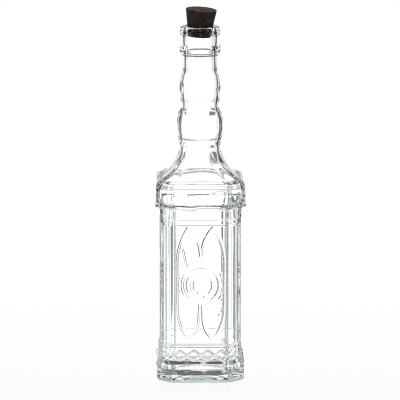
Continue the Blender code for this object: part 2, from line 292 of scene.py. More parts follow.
def smooth_step(low, high, value):
    """0 below low and 1 above high, with the share's 3t^2 - 2t^3 between them."""
    share = np.clip((value - low) / (high - low), 0.0, 1.0)
    return share * share * (3 - 2 * share)


def quarter(start, end, leaves, power=2.0, steps=24):
    """Points on a quarter of a superellipse from start, which is left out, to end.

    With an angle a from 0 to 90 degrees, one share is sin(a)^(2/power) and the other is
    1 - cos(a)^(2/power). Leaving sideways, the first goes across and the second goes up.
    """
    angle = np.linspace(0, np.pi / 2, steps + 1)[1:]
    rising = np.sin(angle) ** (2 / power)
    lagging = 1 - np.cos(angle) ** (2 / power)
    across, up = (rising, lagging) if leaves == "sideways" else (lagging, rising)
    start, end = np.array(start), np.array(end)
    return start + (end - start) * np.column_stack([across, up])


def bulge(heights, foot_radius, crown_radius, head_radius):
    """A swelling of the neck: a quarter ellipse out to its crown and one back in."""
    low, middle, high = heights
    foot, crown, head = (foot_radius, low), (crown_radius, middle), (head_radius, high)
    return np.vstack([[foot], quarter(foot, crown, "sideways"), quarter(crown, head, "upright")])


def under_profile():
    """The underside, from its middle to the inner edge of the foot."""
    hollow = (8.0, PUNT)
    foot = (FOOT_INNER, 0.0)
    return np.vstack([[(0.0, PUNT), hollow], quarter(hollow, foot, "sideways", 1.6)])


def outer_profile():
    """The outside, from the heel up to the outer edge of the lip."""
    heel = (HEEL, 0.0)
    plinth = np.vstack([[heel], quarter(heel, (PLINTH_HALF, 3.4), "sideways"),
                        [(PLINTH_HALF, PLINTH_TOP), (32.0, 16.4), (BAND_HALF, BAND_BOTTOM)]])
    body = np.array([(BAND_HALF, PANEL_BOTTOM - 0.3), (FRAME_HALF, PANEL_BOTTOM),
                     (FRAME_HALF, LEDGE - 0.3), (BAND_HALF, LEDGE + 0.3)])
    cove = (BAND_HALF, COLLAR_BOTTOM - 2.6)
    collar = np.vstack([[cove], quarter(cove, (COLLAR_BEAD_HALF, COLLAR_BOTTOM), "upright"),
                        [(COLLAR_BEAD_HALF, COLLAR_BOTTOM + 1.6), (COLLAR_HALF, 139.8),
                         (COLLAR_HALF, COLLAR_TOP), (SHOULDER_HALF, SHOULDER_START)]])
    shoulder = quarter((SHOULDER_HALF, SHOULDER_START), (NECK_FOOT_RADIUS, NECK_BOTTOM),
                       "sideways", 1.5, 40)
    ring = np.array([(NECK_RING_RADIUS, 179.3), (NECK_RING_RADIUS, 181.6),
                     (NECK_RING_GROOVE, 183.8)])
    neck = np.vstack([
        bulge(LOWER_BULGE, NECK_RING_GROOVE, LOWER_BULGE_RADIUS, WAIST_RADIUS),
        bulge(UPPER_BULGE, WAIST_RADIUS, UPPER_BULGE_RADIUS, UPPER_BULGE_HEAD),
        [(NECK_RADIUS, 246.0), (NECK_RADIUS, LIP_BOTTOM - 0.9)]])
    lip = np.array([(15.1, LIP_BOTTOM), (15.7, 253.2), (LIP_RADIUS, 262.5), (15.7, 269.6),
                    (15.1, 271.6), (14.0, LIP_TOP - 0.7), (12.9, LIP_TOP - 0.5)])
    return np.vstack([plinth, body, collar, shoulder, ring, neck, lip])


def resample(points, step):
    """The same path with a point every step, found along its summed length."""
    lengths = np.hypot(*np.diff(points, axis=0).T[:2])
    along = np.concatenate([[0.0], np.cumsum(lengths)])
    marks = np.linspace(0, along[-1], int(along[-1] / step) + 1)
    return np.column_stack([np.interp(marks, along, column) for column in points.T])


def soften(points, reach):
    """The path with each point replaced by a bell-weighted mean of its neighbours."""
    offsets = np.arange(-3 * reach, 3 * reach + 1)
    weights = np.exp(-0.5 * (offsets / reach) ** 2)
    weights /= weights.sum()
    padded = np.pad(points, ((3 * reach, 3 * reach), (0, 0)), mode="edge")
    return np.column_stack([np.convolve(column, weights, "valid") for column in padded.T])


def inner_wall():
    """The inside of the body and neck, from the top down.

    It is the softened outside moved inwards, square to itself, by the wall's thickness.
    Where a tight bend would turn it back on itself, the part that sinks is left out.
    """
    outside = outer_profile()
    outside = outside[(outside[:, 1] > BAND_BOTTOM - 0.1) & (outside[:, 1] < LIP_BOTTOM - 0.5)]
    outside = np.vstack([[(BAND_HALF, 0.0)], outside])
    path = soften(resample(outside, FINE_STEP), round(WALL_SOFTENING / FINE_STEP))
    run = np.gradient(path, axis=0)
    run /= np.hypot(run[:, 0], run[:, 1])[:, None]
    thickness = np.interp(path[:, 1], WALL_HEIGHTS, WALL_THICKNESS)[:, None]
    wall = path + thickness * np.column_stack([-run[:, 1], run[:, 0]])
    wall = wall[wall[:, 1] >= np.maximum.accumulate(wall[:, 1])]
    wall = soften(resample(wall, FINE_STEP), round(WALL_EASING / FINE_STEP))
    return wall[(wall[:, 1] > WALL_FOOT) & (wall[:, 1] < 250.0)][::-1]


def inner_profile():
    """The inside, from the lip's inner edge down the bore to the middle of the floor."""
    mouth = np.array([(11.6, LIP_TOP - 0.5), (10.7, LIP_TOP - 0.9), (BORE_RADIUS, 271.2),
                      (BORE_RADIUS, 269.0)])
    crown = (BARREL_RADIUS, 262.8)
    barrel = np.vstack([quarter((BORE_RADIUS, 269.0), crown, "sideways"),
                        quarter(crown, (BORE_RADIUS, 253.5), "upright")])
    wall = inner_wall()
    foot = tuple(wall[-1])
    floor = np.vstack([quarter(foot, (foot[0] - 3.5, FLOOR_TOP), "upright"),
                       [(0.0, FLOOR_TOP)]])
    return np.vstack([mouth, barrel, wall, floor])


def row_spacing(height, inside, under):
    """Distance between rows: fine on the panels and the band, wide where glass is plain."""
    spacing = np.full(height.shape, 1.0)
    spacing[(height > PANEL_BOTTOM) & (height < PANEL_TOP)] = 0.62
    spacing[(height > 142) & (height < 152)] = 0.62
    spacing[(height > BAND_BOTTOM - 1) & (height < BAND_TOP + 1)] = 0.45
    spacing[inside] = 3.6
    spacing[under] = 2.5
    return spacing


def bottle_rows(glass):
    """Radius, height, inside and under of every row, from under the base to the floor.

    The density of rows is one over the spacing plus a share of how fast the path turns.
    """
    parts = [under_profile(), outer_profile(), inner_profile()]
    tags = np.concatenate([np.full(len(part), tag) for tag, part in enumerate(parts)])
    path = resample(np.column_stack([np.vstack(parts), tags]), FINE_STEP)
    crisp = soften(path[:, :2], round(glass.edge_rounding / FINE_STEP))
    smooth = soften(path[:, :2], round(glass.neck_rounding / FINE_STEP))
    level = crisp[:, 1:]
    neck = smooth_step(174.0, 182.0, level) * (1 - smooth_step(244, 249, level))
    collar = smooth_step(148.0, 152.0, level) * (1 - smooth_step(158, 162, level))
    path[:, :2] = crisp + (smooth - crisp) * (neck + collar)
    radius, height = path[:, 0], path[:, 1]
    under = path[:, 2] < 0.5
    inside = path[:, 2] > 1.5

    heading = np.unwrap(np.arctan2(np.gradient(height), np.gradient(radius)))
    turning = np.abs(np.gradient(heading)) / FINE_STEP
    density = 1 / row_spacing(height, inside, under) + 2.2 * turning
    count = np.concatenate([[0.0], np.cumsum((density[1:] + density[:-1]) / 2 * FINE_STEP)])
    marks = np.linspace(0, count[-1], round(count[-1]) + 1)[1:-1]
    where = np.interp(marks, count, np.arange(len(count)))
    nearest = np.round(where).astype(int)
    whole = np.arange(len(count))
    return (np.interp(where, whole, radius), np.interp(where, whole, height),
            inside[nearest], under[nearest])


def face_headings():
    """The eight directions that the flats and the corners between them face, front first."""
    return -np.pi / 2 + np.arange(SIDES) * 2 * np.pi / SIDES


def face_distances(flat_shares=(FLAT_SHARE,) * 4):
    """How far each of the eight faces lies from the axis, as a share of the half width."""
    distances = np.ones(SIDES)
    distances[1::2] = (1 + np.array(flat_shares)) / math.sqrt(2)
    return distances


def face_nearness(angle, distances):
    """Cosine to each face over that face's distance: the largest is the face that is met."""
    return np.cos(angle[None, :] - face_headings()[:, None]) / distances[:, None]


def column_angles(count):
    """Angles round the axis, close together at the arrises and on the front.

    They are read off the summed weight of a fine ring, where each face has its own weight
    and each arris and panel edge adds a bell.
    """
    angle = np.linspace(-np.pi, np.pi, 14401) - np.pi / 2
    nearness = face_nearness(angle, face_distances())
    face = nearness.argmax(axis=0)
    across = BAND_HALF * np.tan(angle - face_headings()[face]) * face_distances()[face]
    flat_edge = BAND_HALF * FLAT_SHARE
    corner_edge = BAND_HALF * (1 - FLAT_SHARE) / math.sqrt(2)
    edge = np.where(face % 2 == 0, flat_edge, corner_edge)
    weight = np.array([1.3, 0.4, 0.55, 0.35, 0.22, 0.35, 0.55, 0.4])[face]
    weight = weight + 0.9 * np.exp(-((np.abs(across) - edge) / 0.9) ** 2)
    step = np.abs(np.gradient(across))
    step = np.minimum(step, 3 * np.median(step))
    total = np.cumsum(weight * step)
    marks = (np.arange(count) + 0.5) / count * total[-1]
    return np.interp(marks, total, angle)


def section_radius(angle, half, power, roundness, within):
    """Distance from the axis, for each row and column, of a soft-cornered octagon.

    Each face gives its nearness raised to the power; their sum raised to minus one over
    the power is the radius in half widths. Roundness draws it towards a circle.
    """
    nearness = np.where(within[:, :, None],
                        face_nearness(angle, face_distances(INNER_FLAT_SHARES)),
                        face_nearness(angle, face_distances()))
    nearness = np.maximum(nearness, 0.0)
    total = (nearness ** power[:, None, :]).sum(axis=1)
    octagon = total ** (-1 / power)
    return half[:, None] * (octagon + (1 - octagon) * roundness[:, None])


def arc(centre, radius, first, last, steps=48):
    """Points (across, up) on an arc, its angles in degrees from the right-hand side."""
    angle = np.radians(np.linspace(first, last, steps + 1))
    return np.array(centre) + radius * np.column_stack([np.cos(angle), np.sin(angle)])


def leaning_arc(upright, end, steps=24):
    """Points of the circle arc that leaves upright straight up or down and reaches end."""
    across, up = end[0] - upright[0], end[1] - upright[1]
    sweep = 2 * math.atan2(abs(across), abs(up))
    radius = abs(up) / math.sin(sweep)
    angle = np.linspace(0, sweep, steps + 1)
    return np.column_stack([upright[0] + math.copysign(radius, across) * (1 - np.cos(angle)),
                            upright[1] + math.copysign(radius, up) * np.sin(angle)])


def petal_line():
    """The left petal: arcs from the notch over the tip, down the side and up to the ring."""
    notch, top_tip = (-0.4, 98.5), (-9.5, 121.3)
    wide_top, wide_bottom = (-18.2, 93.0), (-18.0, 58.0)
    bottom_tip, inner_bottom = (-9.2, 33.4), (-1.6, 50.0)
    return np.vstack([leaning_arc(notch, top_tip), leaning_arc(wide_top, top_tip)[::-1],
                      leaning_arc(wide_bottom, bottom_tip),
                      leaning_arc(inner_bottom, bottom_tip)[::-1],
                      [(-1.0, RING_CENTRE - RING_RADIUS)]])


def distance_to(across, up, line):
    """Distance from each point to the nearest stretch of the line through its corners."""
    start, run = line[:-1], np.diff(line, axis=0)
    squares = np.maximum((run ** 2).sum(axis=1), 1e-12)
    nearest = np.full(across.shape, np.inf)
    for (x, y), (run_x, run_y), square in zip(start, run, squares):
        share = np.clip(((across - x) * run_x + (up - y) * run_y) / square, 0.0, 1.0)
        gap = np.hypot(across - x - share * run_x, up - y - share * run_y)
        np.minimum(nearest, gap, out=nearest)
    return nearest


def ridge(distance, half_width):
    """A round-backed ridge: one minus the squared share of its half width, squared."""
    return np.maximum(1 - (distance / half_width) ** 2, 0.0) ** 2


def step_ridge(distance, half_width, slope=0.55):
    """A flat-topped ridge that falls off over a slope at its edges."""
    return 1 - smooth_step(half_width - slope / 2, half_width + slope / 2, distance)


def sunk_panel(across, up, half_width, slope):
    """1 on the floor of a panel and 0 outside it, with slanted edges."""
    middle, reach = (PANEL_TOP + PANEL_BOTTOM) / 2, (PANEL_TOP - PANEL_BOTTOM) / 2
    inwards = np.minimum(half_width - np.abs(across), reach - np.abs(up - middle))
    return smooth_step(-0.25 * slope, slope, inwards)


def face_pattern(across, up):
    """Height of the raised lines on a panel, as a share of the pattern height."""
    mirrored = -np.abs(across)
    petals = ridge(distance_to(mirrored, up, petal_line()), 1.25)
    out = np.hypot(across, up - RING_CENTRE)
    ring = step_ridge(np.abs(out - RING_RADIUS), 0.95)
    horseshoe_arc = arc((0, RING_CENTRE), HORSESHOE_RADIUS, -90 + HORSESHOE_GAP,
                        270 - HORSESHOE_GAP)
    horseshoe = step_ridge(distance_to(across, up, horseshoe_arc), 1.45)
    keyhole_stem = np.array([(0, RING_CENTRE), (0, RING_CENTRE - 6.4)])
    stem = distance_to(across, up, keyhole_stem) - 2.4
    keyhole = 0.8 * step_ridge(np.minimum(out - KEYHOLE_RADIUS, stem), 0.0)
    outer_ring = 0.25 * ridge(np.abs(out - OUTER_RING_RADIUS), 1.0)
    hooks = 0.5 * ridge(distance_to(mirrored, up, arc((-5.2, 119.2), 1.5, 200, 20, 16)), 0.9)
    leaf = 0.5 * ridge(distance_to(mirrored, up, arc((-1.9, 112.6), 1.9, 60, 180, 16)), 0.9)
    return np.maximum.reduce([petals, ring, horseshoe, keyhole, outer_ring, hooks, leaf])


def flow_marks(across, up):
    """Depth of the small folds and flow marks in the front of the glass."""
    depth = np.zeros(across.shape)
    for half_width, most, line in FLOW_MARKS:
        depth = np.maximum(depth, most * ridge(distance_to(across, up, np.array(line)),
                                               half_width))
    return depth


def zigzag(across, up, period):
    """Height of two crossing zigzags: triangle waves 2/pi asin(sin) about the middle."""
    middle, swing = 21.1, 3.85
    wave = 2 / np.pi * np.arcsin(np.sin(2 * np.pi * across / period))
    slope = 4 * swing / period
    steepness = math.hypot(1, slope)
    rising = ridge(np.abs(up - middle - swing * wave) / steepness, 1.0)
    falling = ridge(np.abs(up - middle + swing * wave) / steepness, 1.0)
    return np.maximum(rising, falling)


def relief(across, up, face, pattern_height):
    """Height of the pressed relief over the plain body, for each row and column."""
    height = np.zeros(across.shape)
    band = smooth_step(BAND_BOTTOM - 0.6, BAND_BOTTOM + 0.4, up)
    band = band * (1 - smooth_step(BAND_TOP - 0.4, BAND_TOP + 0.6, up))
    for index in range(SIDES):
        on_face = face == index
        here, level = across[:, on_face], up[:, on_face]
        if index % 2 == 0:
            height[:, on_face] -= PANEL_DEPTH * sunk_panel(here, level, PANEL_HALF, 0.7)
            period = BAND_HALF * FLAT_SHARE
        else:
            height[:, on_face] -= CORNER_PANEL_DEPTH * sunk_panel(here, level, CORNER_PANEL_HALF,
                                                                  0.8)
            period = BAND_HALF * (1 - FLAT_SHARE) * math.sqrt(2)
        height[:, on_face] += pattern_height * band[:, on_face] * zigzag(here, level, period)
        if index in PATTERNED:
            height[:, on_face] += pattern_height * face_pattern(here, level)
        if index == FRONT:
            height[:, on_face] -= flow_marks(here, level)
    return height


def flutes(angle, height):
    """Shallow upright flutes on the two bulges of the neck, fading to nothing outside."""
    low = smooth_step(188, 192, height) * (1 - smooth_step(202, 206, height))
    high = smooth_step(217, 220, height) * (1 - smooth_step(228, 233, height))
    fade = (low + 0.8 * high)[:, None]
    return -0.10 * fade * (0.5 + 0.5 * np.cos(18 * angle[None, :])) ** 2


def waves(angle, height, seed):
    """A slow unevenness: seeded waves that run whole numbers of times round and up."""
    draw = np.random.default_rng(seed)
    total = np.zeros((len(height), len(angle)))
    for turns in (1, 2, 3, 5):
        for length in (90.0, 43.0, 23.0):
            phase, shift = draw.uniform(0, 2 * np.pi, 2)
            size = draw.uniform(0.3, 1.0) / turns ** 0.5
            total += size * (np.cos(turns * angle[None, :] + phase)
                             * np.cos(2 * np.pi * height[:, None] / length + shift))
    return total / np.abs(total).max()


def collar_sag(angle, height):
    """How unevenly the collar's lower edge hangs: waves round it inside a bell of height."""
    turn = angle + np.pi / 2
    wave = 0.5 * np.sin(9 * turn + 0.4) + 0.35 * np.sin(16 * turn + 2.0) + 0.3 * np.sin(4 * turn)
    return 1.1 * wave * np.exp(-((height - COLLAR_BOTTOM) / 3.2) ** 2)


def ring_faces(sizes, poles):
    """Faces between rows of vertices, each row after the last, and out to two poles.

    Rows of one size give a grid of quads. A row of half the size gives three triangles
    for each of its own steps. A pole closes the first row and the last.
    """
    starts = np.concatenate([[0], np.cumsum(sizes)[:-1]])
    quads, triangles = [], []
    for low, high, low_size, high_size in zip(starts, starts[1:], sizes, sizes[1:]):
        here = np.arange(high_size)
        after = (here + 1) % high_size
        if low_size == high_size:
            quads.append(np.column_stack([low + here, low + after, high + after, high + here]))
            continue
        fine, coarse = (low, high) if low_size > high_size else (high, low)
        small = min(low_size, high_size)
        here = np.arange(small)
        after = (here + 1) % small
        corner, middle = fine + 2 * here, fine + 2 * here + 1
        next_corner = fine + 2 * after
        fans = np.vstack([np.column_stack([corner, middle, coarse + here]),
                          np.column_stack([middle, next_corner, coarse + after]),
                          np.column_stack([coarse + here, middle, coarse + after])])
        triangles.append(fans if fine == low else fans[:, ::-1])
    for pole, row, turn in ((poles[0], 0, -1), (poles[1], -1, 1)):
        here = np.arange(sizes[row])
        after = (here + 1) % sizes[row]
        fan = np.column_stack([starts[row] + here, starts[row] + after,
                               np.full(sizes[row], pole)])
        triangles.append(fan[:, ::turn])
    return np.vstack(quads).tolist() + np.vstack(triangles).tolist()


def add_mesh(name, points, faces, material):
    """An object of those points, in millimetres, with smooth faces and that material."""
    mesh = bpy.data.meshes.new(name)
    mesh.from_pydata((np.asarray(points) * MM).tolist(), [], faces)
    mesh.materials.append(material)
    mesh.shade_smooth()
    mesh.update()
    item = bpy.data.objects.new(name, mesh)
    bpy.context.scene.collection.objects.link(item)
    return item


def bottle_surface(glass):
    """Points and faces of the whole skin: under the base, up outside and down inside."""
    radius, height, inside, under = bottle_rows(glass)
    fine_angle = column_angles(glass.columns)
    coarse = inside | under | (height > FINE_TOP)
    roundness = np.where(inside, smooth_step(153.0, 172.0, height),
                         smooth_step(157.0, 174.5, height))
    roundness = np.where(under, 1 - smooth_step(10.0, FOOT_INNER, radius), roundness)

    rows = []
    for chosen, angle in ((~coarse, fine_angle), (coarse, fine_angle[::2])):
        level = height[chosen]
        within = inside[chosen][:, None]
        slack = smooth_step(-0.2, 0.5, np.cos(angle))
        inner_power = glass.inner_power + (glass.slack_power - glass.inner_power) * slack
        outer_power = np.interp(level, (137.0, 141.0), (glass.arris_power, glass.collar_power))
        power = np.where(within, inner_power, outer_power[:, None])
        out = section_radius(angle, radius[chosen], power, roundness[chosen], within)
        wavy = glass.waviness * waves(angle, level, WAVE_SEED) * smooth_step(12, 20, level)[:, None]
        out = out + np.where(within, wavy, flutes(angle, level))
        across = out * np.cos(angle)
        away = out * np.sin(angle)
        rows.append([across, away, np.broadcast_to(level[:, None], out.shape).copy()])

    x, y, z = rows[0]
    z += collar_sag(fine_angle, z)
    face = face_nearness(fine_angle, face_distances()).argmax(axis=0)
    heading = face_headings()[face]
    sideways = -x * np.sin(heading) + y * np.cos(heading)
    lift = relief(sideways, z, face, glass.relief)
    rows[0][0] = x + lift * np.cos(heading)
    rows[0][1] = y + lift * np.sin(heading)

    fine_points = np.stack(rows[0], axis=-1)
    coarse_points = np.stack(rows[1], axis=-1)
    points, sizes = [], []
    fine_row, coarse_row = iter(fine_points), iter(coarse_points)
    for is_coarse in coarse:
        row = next(coarse_row) if is_coarse else next(fine_row)
        points.append(row)
        sizes.append(len(row))
    total = sum(sizes)
    points.append(np.array([(0.0, 0.0, PUNT), (0.0, 0.0, FLOOR_TOP)]))
    return np.vstack(points), ring_faces(np.array(sizes), (total, total + 1))


def cork_surface(cork):
    """Points and faces of the cork, worked out upright and then leant into the mouth."""
    draw = np.random.default_rng(CORK_SEED)
    bottom, top = CORK_BOTTOM_RADIUS, CORK_TOP_RADIUS
    edge = 0.45
    path = np.vstack([[(0.0, 0.0), (bottom - edge, 0.0)],
                      quarter((bottom - edge, 0.0), (bottom, edge), "sideways", steps=6),
                      [(top, CORK_LENGTH - edge)],
                      quarter((top, CORK_LENGTH - edge), (top - edge, CORK_LENGTH), "upright",
                              steps=6),
                      [(0.0, CORK_LENGTH)]])
    path = resample(path, 0.3)[1:-1]
    angle = np.linspace(0, 2 * np.pi, cork.columns, endpoint=False)
    radius, level = path[:, :1], path[:, 1:]
    bumps = np.zeros((len(path), len(angle)))
    for turns in (3, 5, 8, 13, 21, 34):
        for length in (19.0, 8.0, 3.1):
            phase, shift = draw.uniform(0, 2 * np.pi, 2)
            bumps += (np.cos(turns * angle + phase) * np.cos(2 * np.pi * (level + radius) / length
                                                             + shift)) / turns ** 0.5
    bumps *= 0.10 / np.abs(bumps).max()
    pits = np.zeros(bumps.shape)
    for _ in range(70):
        middle_angle = draw.uniform(0, 2 * np.pi)
        middle_level = draw.uniform(0, CORK_LENGTH)
        wide, tall = draw.uniform(0.2, 0.5), draw.uniform(0.4, 1.6)
        turn = (angle - middle_angle + np.pi) % (2 * np.pi) - np.pi
        share = (turn * radius / wide) ** 2 + ((level - middle_level) / tall) ** 2
        pits = np.maximum(pits, draw.uniform(0.3, 0.8) * np.exp(-share ** 2))
    side = smooth_step(bottom - 1.0, bottom - 0.2, radius)
    out = radius + side * (bumps - 0.12 - 0.35 * pits)
    up = level + (1 - side) * bumps * np.where(level > CORK_LENGTH / 2, 1, 0)
    points = np.stack([out * np.cos(angle), out * np.sin(angle),
                       np.broadcast_to(up, out.shape)], axis=-1).reshape(-1, 3)
    ends = np.array([(0.0, 0.0, 0.0), (0.0, 0.0, CORK_LENGTH)])
    points = np.vstack([points, ends])

    tilt, lean = cork.tilt, cork.lean
    about_x = np.array([(1, 0, 0), (0, math.cos(lean), -math.sin(lean)),
                        (0, math.sin(lean), math.cos(lean))])
    about_y = np.array([(math.cos(tilt), 0, math.sin(tilt)), (0, 1, 0),
                        (-math.sin(tilt), 0, math.cos(tilt))])
    turn = about_y @ about_x
    axis = turn[:, 2]
    middle = np.array((0, 0, CORK_PIVOT)) + axis * ((CORK_TOP - CORK_PIVOT) / axis[2]
                                                    - CORK_LENGTH / 2)
    points = (points - (0, 0, CORK_LENGTH / 2)) @ turn.T + middle
    count = len(path) * len(angle)
    return points, ring_faces(np.full(len(path), len(angle)), (count, count + 1))


def new_material(name):
    """A material with nodes, its tree and its Principled shader."""
    material = bpy.data.materials.new(name)
    material.use_nodes = True
    tree = material.node_tree
    return material, tree, tree.nodes["Principled BSDF"]


def noise_node(tree, scale, detail):
    """A noise texture on the object's own coordinates."""
    place = tree.nodes.new("ShaderNodeTexCoord")
    noise = tree.nodes.new("ShaderNodeTexNoise")
    noise.inputs["Scale"].default_value = scale
    noise.inputs["Detail"].default_value = detail
    tree.links.new(place.outputs["Object"], noise.inputs["Vector"])
    return noise


def range_node(tree, value, low, high):
    """The value, from 0.3 to 0.7, stretched to the range from low to high."""
    spread = tree.nodes.new("ShaderNodeMapRange")
    spread.inputs["From Min"].default_value = 0.3
    spread.inputs["From Max"].default_value = 0.7
    spread.inputs["To Min"].default_value = low
    spread.inputs["To Max"].default_value = high
    tree.links.new(value, spread.inputs["Value"])
    return spread.outputs["Result"]


def bump_node(tree, height, distance, strength):
    """A bump of that height output, distance in metres."""
    bump = tree.nodes.new("ShaderNodeBump")
    bump.inputs["Distance"].default_value = distance
    bump.inputs["Strength"].default_value = strength
    tree.links.new(height, bump.inputs["Height"])
    return bump.outputs["Normal"]


def glass_material(glass):
    """Clear glass, faintly green where it is thick, with a fire-polished skin."""
    material, tree, shader = new_material("clear_glass")
    shader.inputs["Base Color"].default_value = (1.0, 1.0, 1.0, 1.0)
    shader.inputs["Transmission Weight"].default_value = 1.0
    shader.inputs["IOR"].default_value = glass.ior
    ripple = noise_node(tree, 170.0, 2.0)
    tree.links.new(bump_node(tree, ripple.outputs["Fac"], 0.00002, 1.0),
                   shader.inputs["Normal"])
    haze = noise_node(tree, 60.0, 3.0)
    tree.links.new(range_node(tree, haze.outputs["Fac"], 0.0, 0.012), shader.inputs["Roughness"])
    depth = tree.nodes.new("ShaderNodeVolumeAbsorption")
    depth.inputs["Color"].default_value = (*glass.tint, 1.0)
    depth.inputs["Density"].default_value = glass.tint_density
    tree.links.new(depth.outputs["Volume"], tree.nodes["Material Output"].inputs["Volume"])
    return material


def cork_material(cork):
    """Dark stained cork: mottled grain, dark pores and a dull skin, with painted light that makes
    its top face lighter.
    """
    material, tree, shader = new_material("dark_cork")
    grain = noise_node(tree, 260.0, 6.0)
    ramp = tree.nodes.new("ShaderNodeValToRGB")
    ramp.color_ramp.elements[0].position = 0.35
    ramp.color_ramp.elements[0].color = (*cork.dark, 1.0)
    ramp.color_ramp.elements[1].position = 0.70
    ramp.color_ramp.elements[1].color = (*cork.light, 1.0)
    tree.links.new(grain.outputs["Fac"], ramp.inputs["Fac"])
    facing = tree.nodes.new("ShaderNodeSeparateXYZ")
    place = tree.nodes.new("ShaderNodeTexCoord")
    tree.links.new(place.outputs["Normal"], facing.inputs["Vector"])
    # Painted light: faces that look up are made lighter in colour, standing in for light on the
    # cork's top
    painted_top_light = ramp_node(tree, facing.outputs["Z"], [(0.5, (1.0, 1.0, 1.0)), (0.9, tuple(cork.painted_top_light))])
    tree.links.new(mix_colors(tree, "MULTIPLY", 1.0, ramp.outputs["Color"], painted_top_light),
                   shader.inputs["Base Color"])
    tree.links.new(range_node(tree, grain.outputs["Fac"], 0.75, 0.95),
                   shader.inputs["Roughness"])
    pores = noise_node(tree, 900.0, 3.0)
    tree.links.new(bump_node(tree, pores.outputs["Fac"], 0.0004, 0.6), shader.inputs["Normal"])
    return material


def emission_material(name, color, strength):
    """A material that only gives off light."""
    material = bpy.data.materials.new(name)
    material.use_nodes = True
    tree = material.node_tree
    tree.nodes.remove(tree.nodes["Principled BSDF"])
    glow = tree.nodes.new("ShaderNodeEmission")
    glow.inputs["Color"].default_value = (*color, 1.0)
    glow.inputs["Strength"].default_value = strength
    tree.links.new(glow.outputs["Emission"], tree.nodes["Material Output"].inputs["Surface"])
    return material


def add_sheet(name, corners, material):
    """A flat four-cornered sheet, its corners in metres."""
    mesh = bpy.data.meshes.new(name)
    mesh.from_pydata(corners, [], [(0, 1, 2, 3)])
    mesh.materials.append(material)
    item = bpy.data.objects.new(name, mesh)
    bpy.context.scene.collection.objects.link(item)
    return item


def ramp_node(tree, value, stops):
    """A colour ramp of that value through the stops, each a place and a grey or a colour."""
    ramp = tree.nodes.new("ShaderNodeValToRGB")
    elements = ramp.color_ramp.elements
    while len(elements) < len(stops):
        elements.new(0.5)
    for element, (place, shade) in zip(elements, stops):
        element.position = place
        element.color = (*shade, 1.0) if isinstance(shade, tuple) else (shade, shade, shade, 1.0)
    tree.links.new(value, ramp.inputs["Fac"])
    return ramp.outputs["Color"]


def maths_node(tree, operation, first, second):
    """A maths node of two outputs or numbers."""
    node = tree.nodes.new("ShaderNodeMath")
    node.operation = operation
    for socket, value in zip(node.inputs, (first, second)):
        if isinstance(value, (int, float)):
            socket.default_value = value
        else:
            tree.links.new(value, socket)
    return node.outputs["Value"]


def surround(tree, place, sectors):
    """The studio round the bottle by azimuth: white with soft dark sectors between.

    The azimuth is the arctangent of X over Y, as a share of a turn, and each sector has
    four stops of a ramp.
    """
    parts = tree.nodes.new("ShaderNodeSeparateXYZ")
    tree.links.new(place, parts.inputs["Vector"])
    azimuth = maths_node(tree, "ARCTAN2", parts.outputs["X"], parts.outputs["Y"])
    share = maths_node(tree, "MULTIPLY_ADD", azimuth, 1 / (2 * math.pi))
    share.node.inputs[2].default_value = 0.5
    stops = []
    for low, high, first, last in sectors:
        for edge, shade in ((low - SECTOR_EDGE, 1.0), (low, first), (high, last),
                            (high + SECTOR_EDGE, 1.0)):
            stops.append((0.5 + edge / 360, shade))
    return ramp_node(tree, share, stops), parts.outputs["Z"]


def outside_block(tree, place, half):
    """The place less its nearest point in a cube round the origin: 0 inside the cube."""
    nearest = place
    for operation, limit in (("MINIMUM", half), ("MAXIMUM", -half), ("SUBTRACT", None)):
        node = tree.nodes.new("ShaderNodeVectorMath")
        node.operation = operation
        if limit is None:
            tree.links.new(place, node.inputs[0])
            tree.links.new(nearest, node.inputs[1])
        else:
            tree.links.new(nearest, node.inputs[0])
            node.inputs[1].default_value = (limit, limit, limit)
        nearest = node.outputs["Vector"]
    return nearest


def mix_colors(tree, blend, share, first, second):
    """Two colours blended, the share being a number or an output."""
    mix = tree.nodes.new("ShaderNodeMix")
    mix.data_type = "RGBA"
    mix.blend_type = blend
    if isinstance(share, float):
        mix.inputs["Factor"].default_value = share
    else:
        tree.links.new(share, mix.inputs["Factor"])
    tree.links.new(first, mix.inputs["A"])
    tree.links.new(second, mix.inputs["B"])
    return mix.outputs["Result"]


